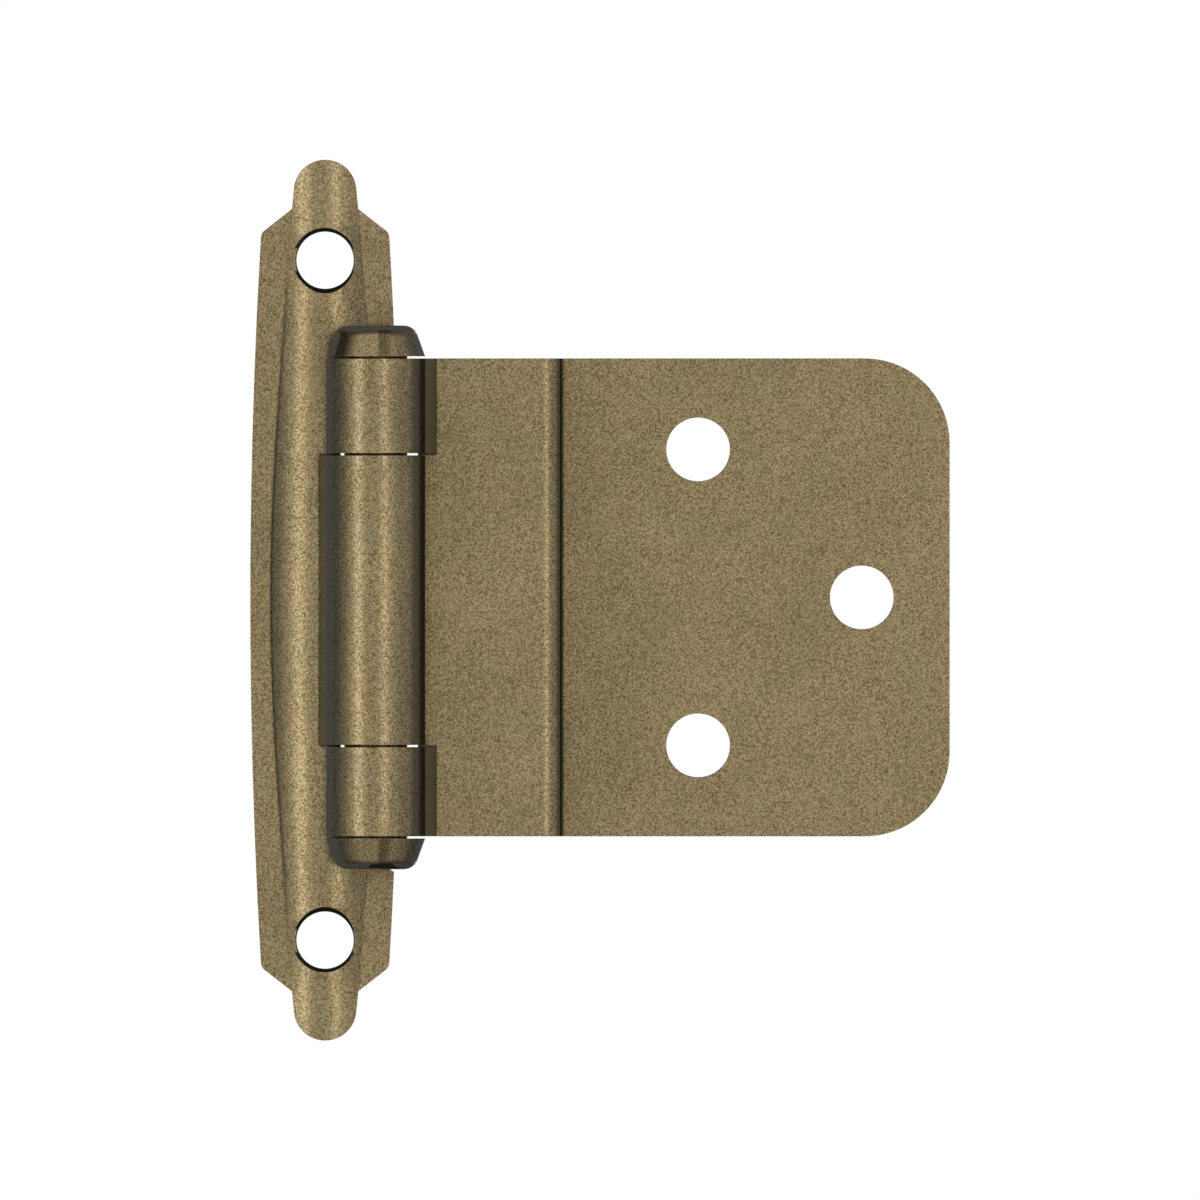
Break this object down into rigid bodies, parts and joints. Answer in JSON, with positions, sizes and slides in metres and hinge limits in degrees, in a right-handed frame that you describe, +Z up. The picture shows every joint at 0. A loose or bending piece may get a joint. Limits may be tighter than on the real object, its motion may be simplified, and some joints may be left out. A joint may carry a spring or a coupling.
{
  "type": "self-closing cabinet hinge",
  "caption": "Self-closing face-mount cabinet hinge for an inset door with a lip: bowed frame plate, stepped door wing, capped barrel, antique brass finish.",
  "frame": {"origin": "midway between the two frame screw holes, on the plane of the cabinet frame's face", "axes": "+Z up along the hinge pin, +X from the frame plate towards the door, +Y into the cabinet; the front faces -Y"},
  "size_m": [0.0554, 0.0194, 0.0698],
  "materials": {
    "antique_brass": "aged satin, finely mottled",
    "cap_brass": "aged satin, patchy",
    "pin_brass": "aged satin",
    "spring_steel": "bright rolled"
  },
  "bodies": {
    "frame_side": {"frame_plate": "antique_brass", "snap_spring": "spring_steel"},
    "door_side": {"door_wing": "antique_brass", "hinge_pin": "pin_brass", "top_cap": "cap_brass", "bottom_cap": "cap_brass"}
  },
  "joints": [
    {"name": "door_swing", "type": "hinge", "parent": "frame_side", "child": "door_side", "pos_m": [0.00402, -0.006, 0], "axis": [0, 0, -1], "range_deg": [0, 180], "stiffness_Nm_per_rad": 0.01, "deforming": ["snap_spring"]}
  ]
}
